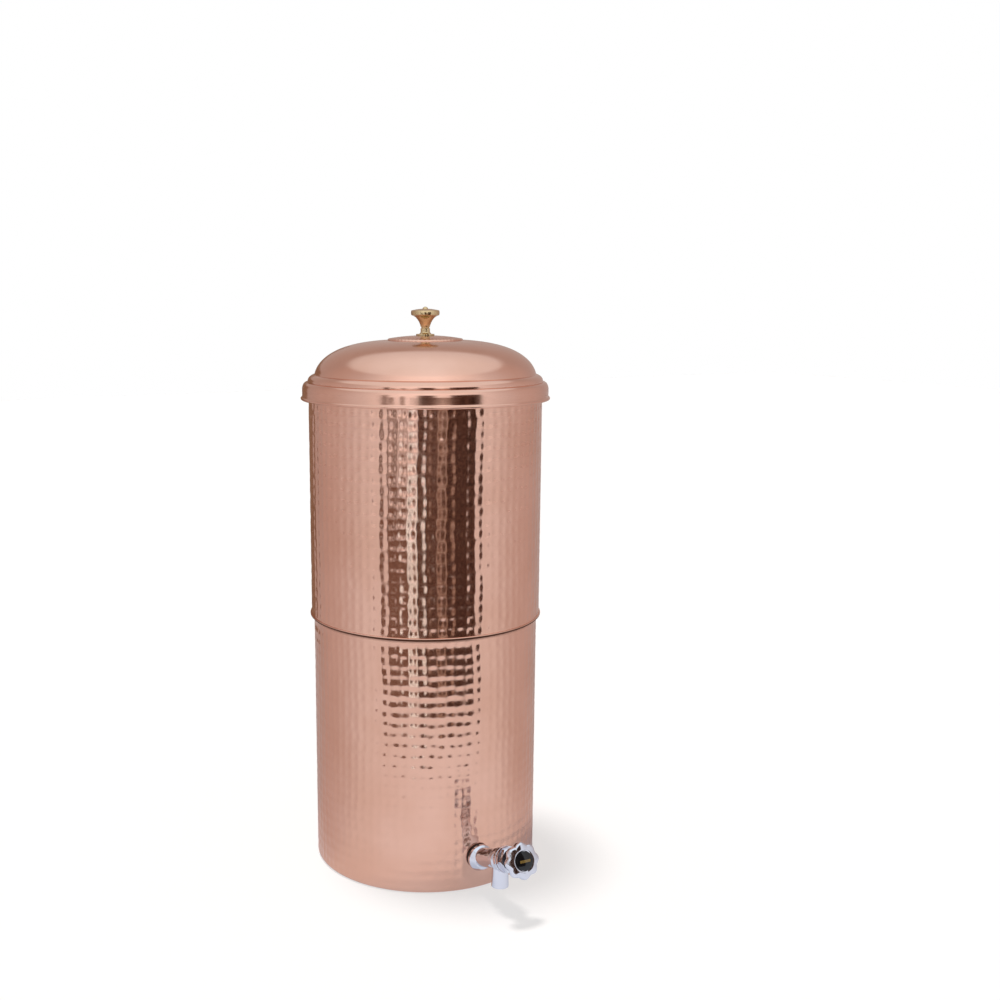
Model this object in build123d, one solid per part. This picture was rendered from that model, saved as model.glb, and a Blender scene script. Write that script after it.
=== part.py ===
from build123d import *
import os
from math import asin, atan2, cos, radians, sin, sqrt, tan

# Gravity water filter in hammered copper: a lower tank with a tap, an upper tank that stands
# on it and holds two ceramic candles, and a domed lid with a brass knob.
# Millimetres, +Z up, origin on the ground under the tanks' axis, tap along -Y.

# Sheet copper and the tanks
sheet = 1.2
lower_diameter = 225.0
lower_height = 267.5
base_corner_radius = 3.0
base_ring_width = 12.0
base_recess_depth = 3.0
base_recess_run = 4.0
base_bend_radius = 1.5
hem_width = 1.0
hem_height = 8.0
hem_round = 0.5
skirt_overlap = 14.0
skirt_clearance = 0.3
skirt_bead_radius = 1.2
upper_depth = 217.0
rim_bead_radius = 2.6
bead_inset = 0.2
seat_gap = 0.2
solder_gap = 0.05
floor_flange_height = 10.0
floor_bend_radius = 1.2

# Lid
lid_band_depth = 17.0
lid_band_clearance = 0.6
lid_bead_radius = 1.3
lid_corner_radius = 4.6
lid_step_width = 5.5
lid_ovolo_radius = 8.0
dome_shoulder_radius = 40.0
dome_shoulder_angle = 66.0
dome_crown_radius = 400.0

# Knob and its plate
plate_radius = 38.0
plate_edge_height = 3.6
plate_crown_rise = 4.2
plate_edge_round = 2.0
knob_foot_radius = 9.0
knob_foot_thickness = 1.2
knob_stem_radius = 4.6
knob_stem_height = 6.6
knob_groove_depth = 0.7
knob_groove_height = 1.6
knob_throat_radius = 6.8
knob_throat_height = 14.0
knob_cone_lean = 0.15
knob_flare_lean = 0.25
knob_rim_radius = 13.6
knob_rim_height = 19.4
knob_rim_thickness = 4.6
knob_rim_swell = 0.4
knob_crown_rise = 1.6
knob_nub_radius = 2.8
knob_nub_height = 2.0
knob_screw_radius = 2.5
screw_hole_clearance = 0.3
knob_screw_reach = 13.0
knob_screw_head_radius = 5.0
knob_screw_head_height = 3.0
knob_washer_radius = 9.0
knob_washer_thickness = 1.2

# Tap casting
tap_height = 33.0
tap_rise_angle = 20.0
shank_radius = 8.0
shank_hole_clearance = 0.3
shank_tail = 3.0
inlet_bore_radius = 4.5
flange_radius = 13.0
flange_edge = 3.0
flange_height = 9.0
flange_back_round = 0.6
flange_front_round = 1.5
flange_throat_round = 0.9
barrel_radius = 9.25
spout_distance = 41.0
spout_bulb_radius = 11.0
spout_root_radius = 7.6
spout_tip_radius = 8.2
spout_bore_radius = 5.0
spout_bore_depth = 12.0
spout_waterway_radius = 4.2
spout_tip_height = 20.0
collar_start = 48.0
collar_radius = 12.5
collar_length = 6.0
collar_back_round = 1.8
collar_front_round = 0.6
seat_distance = 30.0
chamber_radius = 6.6

# Tap seals and nut at the tank's wall
outer_gasket_radius = 14.2
outer_gasket_thickness = 2.0
inner_gasket_radius = 13.0
inner_gasket_thickness = 2.0
wall_fit = 0.05
backing_washer_radius = 12.5
backing_washer_thickness = 1.5
lock_nut_flats = 24.0
lock_nut_thickness = 6.0

# Valve
running_clearance = 0.05
contact_gap = 0.1
bonnet_washer_thickness = 1.0
bonnet_sleeve_length = 7.0
bonnet_flange_radius = 12.2
bonnet_flange_thickness = 2.5
bonnet_hex_flats = 21.0
bonnet_hex_length = 6.5
bonnet_neck_radius = 6.0
bonnet_neck_length = 8.0
gland_radius = 7.65
gland_round = 0.6
spindle_thread_radius = 4.2
spindle_thread_end = 58.0
spindle_stem_radius = 3.25
spindle_square = 4.4
spindle_square_length = 6.5
spindle_socket_depth = 7.0
thread_bore_margin = 4.0
valve_washer_thickness = 3.0
valve_washer_radius = 5.6
jumper_plate_radius = 5.8
jumper_plate_thickness = 2.5
jumper_stem_radius = 2.0
jumper_stem_length = 5.0
jumper_tail_radius = 1.5
jumper_nut_flats = 5.5
jumper_nut_thickness = 1.8
spindle_seal_width = 1.6
spindle_seal_depth = 0.8
spindle_seal_from_neck_end = 4.0

# Hand wheel
wheel_gap = 2.0
wheel_radius = 18.2
wheel_lobes = 8
wheel_scallop_radius = 6.0
wheel_scallop_depth = 2.9
wheel_lobe_round = 1.8
wheel_hub_radius = 8.6
wheel_hub_length = 3.0
wheel_thickness = 9.5
wheel_edge_round = 2.6
wheel_web = 1.6
wheel_cap_radius = 8.7
wheel_cap_recess = 2.0
wheel_cap_edge = 2.6
wheel_cap_rise = 1.6
wheel_screw_radius = 1.5
wheel_screw_reach = 8.0
wheel_screw_head_radius = 3.0
wheel_screw_head_height = 1.8

# Ceramic candles
candle_count = 2
candle_circle_radius = 50.0
candle_radius = 26.0
candle_wall = 8.0
candle_height = 100.0
candle_base_radius = 28.5
candle_base_height = 14.0
candle_socket_depth = 6.0
candle_socket_clearance = 0.1
candle_stem_radius = 6.0
candle_stem_clearance = 0.3
candle_stem_length = 34.0
candle_outlet_radius = 2.5
candle_gasket_radius = 15.0
candle_gasket_thickness = 3.0
wing_nut_flange_radius = 12.0
wing_nut_flange_thickness = 2.0
wing_nut_hub_radius = 8.5
wing_nut_height = 11.0
wing_length = 9.0
wing_thickness = 3.0
wing_height = 14.0
wing_round = 1.2

# Radii and levels that follow from the sizes above
lower_radius = lower_diameter / 2
lower_inner_radius = lower_radius - sheet
upper_inner_radius = lower_radius + hem_width + skirt_clearance
seam_height = lower_height - skirt_overlap
floor_bottom = lower_height + seat_gap
floor_top = floor_bottom + sheet
rim_top = floor_bottom + upper_depth
rim_bead_middle = upper_inner_radius + bead_inset + rim_bead_radius
lid_band_inner = rim_bead_middle + rim_bead_radius + lid_band_clearance
lid_band_radius = lid_band_inner + sheet
lid_step = rim_top + seat_gap + sheet
lid_bottom = lid_step - lid_band_depth
ovolo_foot_radius = lid_band_radius - lid_step_width
dome_base_radius = ovolo_foot_radius - lid_ovolo_radius
dome_base = lid_step + lid_ovolo_radius

# The dome is a shallow crown arc that runs into a tighter shoulder arc
shoulder_end = radians(dome_shoulder_angle)
crown_reach = dome_base_radius - dome_shoulder_radius * sin(shoulder_end)
crown_end = asin(crown_reach / (dome_crown_radius - dome_shoulder_radius))
crown_middle = (
    dome_base
    - (dome_crown_radius - dome_shoulder_radius) * cos(crown_end)
    - dome_shoulder_radius * cos(shoulder_end)
)
dome_top = crown_middle + dome_crown_radius
plate_rim = crown_middle + sqrt(dome_crown_radius**2 - plate_radius**2)
plate_shoulder = plate_rim + plate_edge_height
plate_top = plate_shoulder + plate_crown_rise

# Distances from the tanks' axis to the pieces at the tap's hole
flange_back = lower_radius + outer_gasket_thickness
gasket_seat = sqrt(lower_inner_radius**2 - inner_gasket_radius**2)
washer_seat = gasket_seat - inner_gasket_thickness
nut_seat = washer_seat - backing_washer_thickness
shank_end = nut_seat - lock_nut_thickness - shank_tail
shank_length = flange_back - shank_end

# Distances along the valve's axis, from the flange's back
tap_rise = radians(tap_rise_angle)
barrel_start = barrel_radius * tan(tap_rise) + contact_gap
collar_end = collar_start + collar_length
bonnet_seat = collar_end + bonnet_washer_thickness
bonnet_sleeve_start = collar_end - bonnet_sleeve_length
bonnet_hex_start = bonnet_seat + bonnet_flange_thickness
bonnet_neck_start = bonnet_hex_start + bonnet_hex_length
bonnet_end = bonnet_neck_start + bonnet_neck_length
valve_washer_start = seat_distance + contact_gap
jumper_plate_start = valve_washer_start + valve_washer_thickness
jumper_plate_end = jumper_plate_start + jumper_plate_thickness
spindle_start = jumper_plate_end + contact_gap
thread_bore_end = spindle_thread_end + thread_bore_margin
seal_start = bonnet_end - spindle_seal_from_neck_end
wheel_start = bonnet_end + wheel_gap
spindle_square_start = wheel_start - running_clearance
spindle_end = spindle_square_start + spindle_square_length
wheel_web_start = spindle_end + contact_gap
wheel_web_end = wheel_web_start + wheel_web
wheel_disc_start = wheel_start + wheel_hub_length
wheel_face = wheel_disc_start + wheel_thickness
cap_seat = wheel_face - wheel_cap_recess

# Levels of a candle, from its gasket up and its nut down
candle_base_bottom = floor_top + candle_gasket_thickness
candle_socket = candle_base_bottom + candle_base_height - candle_socket_depth
wing_nut_bottom = floor_bottom - wing_nut_height

# Planes of the tap: the shank is square to the wall, the valve rises from it, the spout drops
shank_plane = Plane(origin=(0, -flange_back, tap_height), x_dir=(1, 0, 0), z_dir=(0, -1, 0))
valve_plane = Plane(
    origin=(0, -flange_back, tap_height),
    x_dir=(1, 0, 0),
    z_dir=(0, -cos(tap_rise), sin(tap_rise)),
)
spout_reach = flange_back + spout_distance * cos(tap_rise)
spout_root = tap_height + spout_distance * sin(tap_rise)
spout_plane = Plane(origin=(0, -spout_reach, spout_root), x_dir=(1, 0, 0), z_dir=(0, 0, -1))
spout_length = spout_root - spout_tip_height


def turned(*outline):
    """Solid of revolution about Z from edges drawn in the XZ plane."""
    profile = make_face(Curve() + list(outline))
    return revolve(Plane.XZ * profile, Axis.Z)


def turned_corners(corners, rounds=None):
    """Solid of revolution about Z from corner points, each with its own rounding."""
    radii = rounds or [0] * len(corners)
    return turned(FilletPolyline(*corners, radius=radii, close=True))


def dome_arc(radius, edge, rise):
    """Arc about the Z axis from a rim at a level up to the middle."""
    bend_radius = (radius**2 + rise**2) / (2 * rise)
    half_lean = asin(radius / bend_radius) / 2
    bend = (bend_radius * sin(half_lean), edge + rise - bend_radius * (1 - cos(half_lean)))
    return ThreePointArc((radius, edge), bend, (0, edge + rise))


def ring(inner, outer, start, end):
    """Plain ring about Z between two levels."""
    return turned_corners([(inner, start), (outer, start), (outer, end), (inner, end)])


def rod(radius, start, end):
    """Plain rod about Z between two levels."""
    return Pos(0, 0, start) * Cylinder(radius, end - start, align=(Align.CENTER, Align.CENTER, Align.MIN))


def hexagon_bar(flats, start, end):
    """Hexagon bar about Z with its corners turned off at both ends."""
    corner_radius = flats / 2 / cos(radians(30))
    bar = extrude(Pos(0, 0, start) * RegularPolygon(corner_radius, 6), end - start)
    fall = (corner_radius - flats / 2) * tan(radians(30))
    turning = turned_corners(
        [
            (0, start),
            (flats / 2, start),
            (corner_radius, start + fall),
            (corner_radius, end - fall),
            (flats / 2, end),
            (0, end),
        ]
    )
    return bar & turning


def along_y(radius, near, far):
    """Rod along -Y at the tap's height, between two distances from the tanks' axis."""
    hole_plane = Plane(origin=(0, -near, tap_height), x_dir=(1, 0, 0), z_dir=(0, -1, 0))
    return hole_plane * rod(radius, 0, far - near)


def make_lower_tank():
    """Drawn tank with a recessed base, a folded hem at its mouth and the tap's hole."""
    recess_edge = lower_radius - base_ring_width
    recess_flat = recess_edge - base_recess_run
    bend = sheet * tan(atan2(base_recess_depth, base_recess_run) / 2)
    outside = turned_corners(
        [
            (0, base_recess_depth),
            (recess_flat, base_recess_depth),
            (recess_edge, 0),
            (lower_radius, 0),
            (lower_radius, lower_height),
            (0, lower_height),
        ],
        [0, base_bend_radius, base_bend_radius, base_corner_radius, 0, 0],
    )
    inside = turned_corners(
        [
            (0, base_recess_depth + sheet),
            (recess_flat + bend, base_recess_depth + sheet),
            (recess_edge + bend, sheet),
            (lower_inner_radius, sheet),
            (lower_inner_radius, lower_height + sheet),
            (0, lower_height + sheet),
        ],
        [0, base_bend_radius, base_bend_radius, base_corner_radius - sheet, 0, 0],
    )
    hem_bottom = lower_height - hem_height
    hem = ring(lower_radius - sheet / 2, lower_radius + hem_width, hem_bottom, lower_height)
    tank = outside + hem - inside
    mouth = tank.edges().filter_by(GeomType.CIRCLE).group_by(Axis.Z)[-1]
    tank = fillet(mouth, hem_round)
    return tank - along_y(shank_radius + shank_hole_clearance, lower_radius / 2, flange_back)


def make_upper_tank():
    """Open tube with a small bead on its skirt and a rolled rim at its mouth."""
    skirt_bead_middle = upper_inner_radius + bead_inset + skirt_bead_radius
    skirt_bead = (skirt_bead_middle, seam_height + skirt_bead_radius)
    rim_bead = (rim_bead_middle, rim_top - rim_bead_radius)
    wall_height = rim_bead[1] - skirt_bead[1]
    wall = Pos(upper_inner_radius, skirt_bead[1]) * Rectangle(
        sheet, wall_height, align=(Align.MIN, Align.MIN)
    )
    skirt_edge = Pos(*skirt_bead) * Circle(skirt_bead_radius)
    rim = Pos(*rim_bead) * Circle(rim_bead_radius)
    return revolve(Plane.XZ * (wall + skirt_edge + rim), Axis.Z)


def candle_places():
    """Places of the candles on the upper tank's floor."""
    return PolarLocations(candle_circle_radius, candle_count)


def make_upper_floor():
    """Pressed pan soldered into the upper tank, with a hole for each candle's stem."""
    edge = upper_inner_radius - solder_gap
    flange_top = floor_bottom + floor_flange_height
    pan = turned_corners(
        [
            (0, floor_bottom),
            (edge, floor_bottom),
            (edge, flange_top),
            (edge - sheet, flange_top),
            (edge - sheet, floor_top),
            (0, floor_top),
        ],
        [0, floor_bend_radius, 0, 0, floor_bend_radius, 0],
    )
    hole = rod(candle_stem_radius + candle_stem_clearance, floor_bottom - sheet, floor_top + sheet)
    return pan - [place * hole for place in candle_places()]


def make_candle_ceramic():
    """Hollow ceramic thimble with a round top."""
    shoulder = candle_socket + candle_height - candle_radius
    bore = candle_radius - candle_wall
    outside = rod(candle_radius, candle_socket, shoulder) + Pos(0, 0, shoulder) * Sphere(candle_radius)
    inside = rod(bore, candle_socket - candle_wall, shoulder) + Pos(0, 0, shoulder) * Sphere(bore)
    return outside - inside


def make_candle_base():
    """Moulded cup that holds the ceramic, with a hollow threaded stem."""
    cup_top = candle_base_bottom + candle_base_height
    socket_radius = candle_radius + candle_socket_clearance
    stem_end = candle_base_bottom - candle_stem_length
    cup = turned_corners(
        [
            (0, candle_base_bottom),
            (candle_base_radius, candle_base_bottom),
            (candle_base_radius, cup_top),
            (socket_radius, cup_top),
            (socket_radius, candle_socket),
            (0, candle_socket),
        ],
        [0, candle_base_radius - socket_radius, 0, 0, 0, 0],
    )
    stem = rod(candle_stem_radius, stem_end, candle_socket)
    return cup + stem - rod(candle_outlet_radius, stem_end - sheet, candle_socket + sheet)


def make_candle_gasket():
    """Soft ring between a candle's cup and the floor."""
    hole_radius = candle_stem_radius + candle_stem_clearance
    return ring(hole_radius, candle_gasket_radius, floor_top, candle_base_bottom)


def make_wing_nut():
    """Moulded nut with two wings, drawn up under the floor."""
    flange = rod(wing_nut_flange_radius, floor_bottom - wing_nut_flange_thickness, floor_bottom)
    hub = rod(wing_nut_hub_radius, wing_nut_bottom, floor_bottom)
    wing_reach = 2 * (wing_nut_hub_radius + wing_length)
    wing_low = floor_bottom - wing_nut_flange_thickness - wing_height
    wings = Pos(0, 0, wing_low) * Box(
        wing_thickness, wing_reach, wing_height, align=(Align.CENTER, Align.CENTER, Align.MIN)
    )
    wings = fillet(wings.edges().filter_by(Axis.X), wing_round)
    hole = rod(candle_stem_radius + running_clearance, wing_low - sheet, floor_bottom + sheet)
    return flange + hub + wings - hole


def lid_outline(inset):
    """Edges of the lid's outer face, or of its inner face when inset is the sheet's thickness."""
    band = lid_band_radius - inset
    step = lid_step - inset
    foot = ovolo_foot_radius - inset
    ovolo = lid_ovolo_radius - inset
    shoulder = dome_shoulder_radius - inset
    crown = dome_crown_radius - inset
    lean = (crown_end + shoulder_end) / 2
    shoulder_r = (dome_crown_radius - dome_shoulder_radius) * sin(crown_end)
    shoulder_z = crown_middle + (dome_crown_radius - dome_shoulder_radius) * cos(crown_end)
    dome_start = (shoulder_r + shoulder * sin(shoulder_end), shoulder_z + shoulder * cos(shoulder_end))
    dome_bend = (shoulder_r + shoulder * sin(lean), shoulder_z + shoulder * cos(lean))
    crown_start = (crown * sin(crown_end), crown_middle + crown * cos(crown_end))
    crown_bend = (crown * sin(crown_end / 2), crown_middle + crown * cos(crown_end / 2))
    axis_top = (0, crown_middle + crown)
    axis_bottom = (0, lid_bottom + lid_bead_radius)
    band_bottom = (band, lid_bottom + lid_bead_radius)
    corner = lid_corner_radius - inset
    diagonal = corner * sin(radians(45))
    corner_middle = (band - corner, step - corner)
    edges = [
        Line(axis_bottom, band_bottom),
        Line(band_bottom, (band, corner_middle[1])),
        ThreePointArc(
            (band, corner_middle[1]),
            (corner_middle[0] + diagonal, corner_middle[1] + diagonal),
            (corner_middle[0], step),
        ),
        Line((corner_middle[0], step), (foot, step)),
    ]
    if inset:
        edges.append(Line((foot, step), (foot, lid_step)))
    ovolo_bend = ovolo * sin(radians(45))
    edges += [
        ThreePointArc(
            (foot, lid_step),
            (dome_base_radius + ovolo_bend, lid_step + ovolo_bend),
            (dome_base_radius, lid_step + ovolo),
        ),
    ]
    if inset:
        edges.append(Line((dome_base_radius, lid_step + ovolo), dome_start))
    edges += [
        ThreePointArc(dome_start, dome_bend, crown_start),
        ThreePointArc(crown_start, crown_bend, axis_top),
        Line(axis_top, axis_bottom),
    ]
    return edges


def make_lid():
    """Spun lid: a beaded band, a step that rests on the rim, a round moulding and a dome."""
    bead_place = Pos(lid_band_inner + bead_inset + lid_bead_radius, lid_bottom + lid_bead_radius)
    bead = revolve(Plane.XZ * (bead_place * Circle(lid_bead_radius)), Axis.Z)
    shell = turned(*lid_outline(0)) - turned(*lid_outline(sheet))
    hole = rod(knob_screw_radius + screw_hole_clearance, dome_top - plate_radius, dome_top + sheet)
    return shell + bead - hole


def make_knob_plate():
    """Shallow dished plate that stands on the dome by its turned-down edge."""
    inner_radius = plate_radius - sheet
    inner_shoulder = plate_shoulder - sheet
    below = crown_middle + dome_crown_radius / 2
    outside = turned(
        Line((0, below), (plate_radius, below)),
        Line((plate_radius, below), (plate_radius, plate_shoulder)),
        dome_arc(plate_radius, plate_shoulder, plate_crown_rise),
        Line((0, plate_top), (0, below)),
    )
    rim = outside.edges().filter_by(lambda edge: edge.is_closed).sort_by(Axis.Z)[-1]
    outside = fillet(rim, plate_edge_round)
    inside = turned(
        Line((0, below), (inner_radius, below)),
        Line((inner_radius, below), (inner_radius, inner_shoulder)),
        dome_arc(inner_radius, inner_shoulder, plate_crown_rise),
        Line((0, plate_top - sheet), (0, below)),
    )
    crown = Pos(0, 0, crown_middle) * Sphere(dome_crown_radius + solder_gap)
    hole = rod(knob_screw_radius + screw_hole_clearance, below, plate_top + sheet)
    return outside - inside - crown - hole


def make_knob():
    """Turned brass knob: a foot, a short stem with a groove, and a trumpet with a nub on top."""
    foot_top = plate_top + knob_foot_thickness
    stem_top = plate_top + knob_stem_height
    groove_top = stem_top + knob_groove_height
    throat = plate_top + knob_throat_height
    rim_low = plate_top + knob_rim_height
    rim_high = rim_low + knob_rim_thickness
    crown = rim_high + knob_crown_rise
    nub_top = crown + knob_nub_height
    foot_sweep = knob_foot_radius - knob_stem_radius
    stem_low = foot_top + foot_sweep / 2
    groove_radius = knob_stem_radius - knob_groove_depth
    knob = turned(
        Line((0, plate_top), (knob_foot_radius, plate_top)),
        Line((knob_foot_radius, plate_top), (knob_foot_radius, foot_top)),
        ThreePointArc(
            (knob_foot_radius, foot_top),
            (knob_stem_radius + foot_sweep / 4, foot_top + foot_sweep / 8),
            (knob_stem_radius, stem_low),
        ),
        Line((knob_stem_radius, stem_low), (knob_stem_radius, stem_top)),
        ThreePointArc(
            (knob_stem_radius, stem_top),
            (groove_radius, stem_top + knob_groove_height / 2),
            (knob_stem_radius, groove_top),
        ),
        Spline(
            (knob_stem_radius, groove_top),
            (knob_throat_radius, throat),
            (knob_rim_radius, rim_low),
            tangents=[(knob_cone_lean, 1), (1, knob_flare_lean)],
        ),
        ThreePointArc(
            (knob_rim_radius, rim_low),
            (knob_rim_radius + knob_rim_swell, rim_low + knob_rim_thickness / 2),
            (knob_rim_radius, rim_high),
        ),
        ThreePointArc(
            (knob_rim_radius, rim_high),
            ((knob_rim_radius + knob_nub_radius) / 2, crown - knob_crown_rise / 3),
            (knob_nub_radius, crown),
        ),
        dome_arc(knob_nub_radius, crown, knob_nub_height),
        Line((0, nub_top), (0, plate_top)),
    )
    return knob - rod(knob_screw_radius + running_clearance, plate_top, plate_top + knob_screw_reach)


def knob_washer_top():
    """Level under the dome where the washer's edge touches it."""
    inner_crown = dome_crown_radius - sheet
    return crown_middle + sqrt(inner_crown**2 - knob_washer_radius**2)


def make_knob_washer():
    """Flat washer under the dome."""
    top = knob_washer_top()
    bottom = top - knob_washer_thickness
    return ring(knob_screw_radius + screw_hole_clearance, knob_washer_radius, bottom, top)


def make_knob_screw():
    """Pan-headed screw that draws the knob and its plate down on the lid."""
    seat = knob_washer_top() - knob_washer_thickness
    head = turned_corners(
        [
            (0, seat - knob_screw_head_height),
            (knob_screw_head_radius, seat - knob_screw_head_height),
            (knob_screw_head_radius, seat),
            (0, seat),
        ],
        [0, knob_screw_head_height / 2, 0, 0],
    )
    return head + rod(knob_screw_radius, seat, plate_top + knob_screw_reach - contact_gap)


def make_tap_body():
    """Cast body: shank, bell flange, rising barrel, spout with its bulb, and the bonnet's collar."""
    flange = turned_corners(
        [
            (0, 0),
            (flange_radius, 0),
            (flange_radius, flange_edge),
            (barrel_radius, flange_height),
            (0, flange_height),
        ],
        [0, flange_back_round, flange_front_round, flange_throat_round, 0],
    )
    shank = rod(shank_radius, -shank_length, 0)
    barrel = rod(barrel_radius, barrel_start, collar_start)
    collar = turned_corners(
        [
            (0, collar_start),
            (collar_radius, collar_start),
            (collar_radius, collar_end),
            (0, collar_end),
        ],
        [0, collar_back_round, collar_front_round, 0],
    )
    bulb = Pos(0, 0, spout_distance) * Sphere(spout_bulb_radius)
    spout = turned_corners(
        [(0, 0), (spout_root_radius, 0), (spout_tip_radius, spout_length), (0, spout_length)]
    )
    body = shank_plane * (flange + shank) + valve_plane * (barrel + collar + bulb)
    body = body + spout_plane * spout
    inlet = shank_plane * rod(inlet_bore_radius, -shank_length - sheet, 0)
    elbow = shank_plane * Sphere(inlet_bore_radius)
    throat = valve_plane * rod(inlet_bore_radius, 0, seat_distance)
    chamber = valve_plane * rod(chamber_radius, seat_distance, collar_end + sheet)
    outlet = spout_plane * rod(spout_waterway_radius, 0, spout_length)
    mouth = spout_plane * rod(spout_bore_radius, spout_length - spout_bore_depth, spout_length + sheet)
    return body - [inlet, elbow, throat, chamber, outlet, mouth]


def make_tap_outer_gasket():
    """Soft ring, flat on the flange and curved to the tank's outside."""
    disc = along_y(outer_gasket_radius, lower_radius / 2, flange_back)
    hole = along_y(shank_radius + running_clearance, lower_radius / 4, flange_back + sheet)
    return disc - hole - rod(lower_radius + wall_fit, 0, lower_height)


def make_tap_inner_gasket():
    """Soft ring, curved to the tank's inside and flat under the washer."""
    disc = along_y(inner_gasket_radius, washer_seat, lower_radius)
    hole = along_y(shank_radius + running_clearance, lower_radius / 4, flange_back)
    tank_inside = rod(lower_inner_radius - wall_fit, 0, lower_height)
    return (disc & tank_inside) - hole


def make_tap_backing_washer():
    """Flat washer between the inner gasket and the lock nut."""
    washer = along_y(backing_washer_radius, nut_seat, washer_seat)
    return washer - along_y(shank_radius + running_clearance, shank_end, flange_back)


def make_tap_lock_nut():
    """Hexagon nut on the shank, inside the tank."""
    nut_start = nut_seat - flange_back
    nut = hexagon_bar(lock_nut_flats, nut_start - lock_nut_thickness, nut_start)
    hole = rod(shank_radius + running_clearance, -shank_length, 0)
    return shank_plane * (nut - hole)


def make_tap_bonnet():
    """Bonnet screwed into the collar, bored for the spindle's thread and stem."""
    sleeve = rod(chamber_radius - running_clearance, bonnet_sleeve_start, bonnet_seat)
    flange = rod(bonnet_flange_radius, bonnet_seat, bonnet_hex_start)
    hexagon = hexagon_bar(bonnet_hex_flats, bonnet_hex_start, bonnet_neck_start)
    neck = rod(bonnet_neck_radius, bonnet_neck_start, bonnet_end)
    thread = rod(spindle_thread_radius + running_clearance, bonnet_sleeve_start - sheet, thread_bore_end)
    stem = rod(spindle_stem_radius + running_clearance, thread_bore_end, bonnet_end + sheet)
    return valve_plane * (sleeve + flange + hexagon + neck - thread - stem)


def make_tap_bonnet_washer():
    """Fibre washer between the collar and the bonnet."""
    return valve_plane * ring(chamber_radius, bonnet_flange_radius, collar_end, bonnet_seat)


def make_tap_gland():
    """Dark moulded sleeve over the bonnet's neck."""
    sleeve = turned_corners(
        [
            (bonnet_neck_radius + running_clearance, bonnet_neck_start),
            (gland_radius, bonnet_neck_start),
            (gland_radius, bonnet_end),
            (bonnet_neck_radius + running_clearance, bonnet_end),
        ],
        [0, 0, gland_round, 0],
    )
    return valve_plane * sleeve


def make_valve_washer():
    """Rubber washer that closes on the seat."""
    return valve_plane * ring(
        jumper_tail_radius + running_clearance, valve_washer_radius, valve_washer_start, jumper_plate_start
    )


def make_valve_jumper():
    """Plate that carries the washer, with a stem that hangs loose in the spindle's end."""
    tail_end = valve_washer_start - jumper_nut_thickness
    plate = rod(jumper_plate_radius, jumper_plate_start, jumper_plate_end)
    stem = rod(jumper_stem_radius, jumper_plate_end, jumper_plate_end + jumper_stem_length)
    return valve_plane * (plate + stem + rod(jumper_tail_radius, tail_end, jumper_plate_start))


def make_valve_nut():
    """Small nut that holds the washer to the jumper."""
    nut = hexagon_bar(jumper_nut_flats, valve_washer_start - jumper_nut_thickness, valve_washer_start)
    hole = rod(jumper_tail_radius + running_clearance, 0, jumper_plate_start)
    return valve_plane * (nut - hole)


def make_tap_spindle():
    """Threaded spindle, hollow for the jumper's stem, with a groove and a square end."""
    thread = rod(spindle_thread_radius, spindle_start, spindle_thread_end)
    stem = rod(spindle_stem_radius, spindle_thread_end, spindle_square_start)
    square_bar = Rectangle(spindle_square, spindle_square)
    square = extrude(Pos(0, 0, spindle_square_start) * square_bar, spindle_square_length)
    socket = rod(
        jumper_stem_radius + running_clearance, spindle_start - sheet, spindle_start + spindle_socket_depth
    )
    groove = ring(
        spindle_stem_radius - spindle_seal_depth,
        spindle_stem_radius + sheet,
        seal_start,
        seal_start + spindle_seal_width,
    )
    tapping_radius = wheel_screw_radius + running_clearance
    tapping = rod(tapping_radius, spindle_end - wheel_screw_reach, spindle_end + sheet)
    return valve_plane * (thread + stem + square - socket - groove - tapping)


def make_spindle_seal():
    """Soft ring in the spindle's groove."""
    return valve_plane * ring(
        spindle_stem_radius - spindle_seal_depth,
        spindle_stem_radius + running_clearance / 2,
        seal_start + running_clearance,
        seal_start + spindle_seal_width - running_clearance,
    )


def make_tap_wheel():
    """Lobed hand wheel with a hub, a square socket and a seat for its cap."""
    scallop_middle = wheel_radius - wheel_scallop_depth + wheel_scallop_radius
    scallops = PolarLocations(scallop_middle, wheel_lobes)
    star = Circle(wheel_radius) - [place * Circle(wheel_scallop_radius) for place in scallops]
    star = fillet(star.vertices(), wheel_lobe_round)
    prism = extrude(Pos(0, 0, wheel_disc_start) * star, wheel_thickness)
    rounding = turned_corners(
        [
            (0, wheel_disc_start),
            (wheel_radius, wheel_disc_start),
            (wheel_radius, wheel_face),
            (0, wheel_face),
        ],
        [0, wheel_edge_round, wheel_edge_round, 0],
    )
    hub = rod(wheel_hub_radius, wheel_start, wheel_face)
    socket_size = spindle_square + 2 * running_clearance
    socket_bar = Rectangle(socket_size, socket_size)
    socket = extrude(Pos(0, 0, wheel_start) * socket_bar, wheel_web_start - wheel_start)
    screw_hole = rod(wheel_screw_radius + running_clearance, wheel_start, wheel_face)
    head_well = rod(wheel_screw_head_radius + contact_gap, wheel_web_end, wheel_face)
    cap_well = rod(wheel_cap_radius + running_clearance, cap_seat, wheel_face + sheet)
    wheel = (prism & rounding) + hub - [socket, screw_hole, head_well, cap_well]
    return valve_plane * wheel


def make_wheel_screw():
    """Screw that holds the wheel on the spindle."""
    head = rod(wheel_screw_head_radius, wheel_web_end, wheel_web_end + wheel_screw_head_height)
    shank_tip = spindle_end - wheel_screw_reach + contact_gap
    return valve_plane * (head + rod(wheel_screw_radius, shank_tip, wheel_web_end))


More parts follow.
